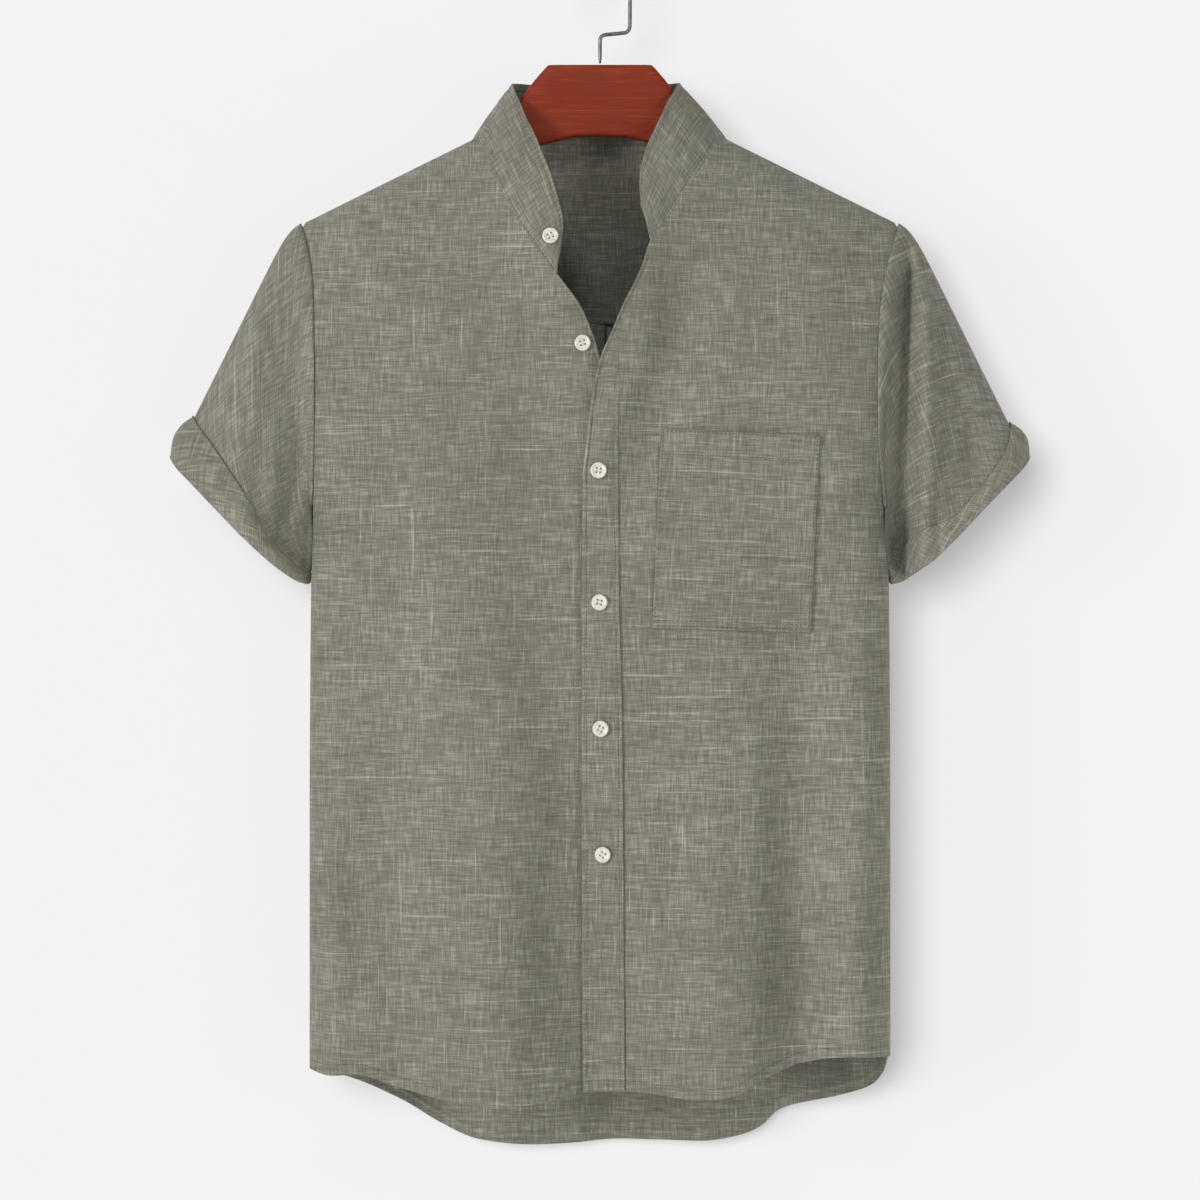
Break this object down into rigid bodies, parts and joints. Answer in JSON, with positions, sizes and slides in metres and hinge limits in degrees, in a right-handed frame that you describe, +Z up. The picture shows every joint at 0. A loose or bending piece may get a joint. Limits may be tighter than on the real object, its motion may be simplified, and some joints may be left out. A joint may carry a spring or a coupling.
{
  "type": "mandarin collar shirt on a hanger",
  "caption": "Short-sleeved shirt with a mandarin collar, open at the neck, with a patch pocket and turned-up sleeves, hung on a wooden hanger with a wire hook.",
  "frame": {"origin": "underside of the hook's crest, where a rail carries the hanger", "axes": "+Z up, the shirt's front faces -Y, the wearer's left side lies at +X"},
  "size_m": [0.6334, 0.1272, 0.8924],
  "materials": {
    "shirting": "matt slub linen, grey green",
    "button_shell": "off-white, softly glossy",
    "hanger_wood": "red-brown varnished wood",
    "hook_steel": "plain dark steel wire"
  },
  "bodies": {
    "root": {"front_right": "shirting", "front_left": "shirting", "back_panel": "shirting", "back_yoke": "shirting", "sleeve_right": "shirting", "sleeve_left": "shirting", "turn_up_right": "shirting", "turn_up_left": "shirting", "collar_band": "shirting", "placket": "shirting", "chest_pocket": "shirting", "button_collar": "button_shell", "button_2": "button_shell", "button_3": "button_shell", "button_4": "button_shell", "button_5": "button_shell", "button_6": "button_shell", "hanger_wood": "hanger_wood", "hanger_hook": "hook_steel"}
  },
  "joints": []
}
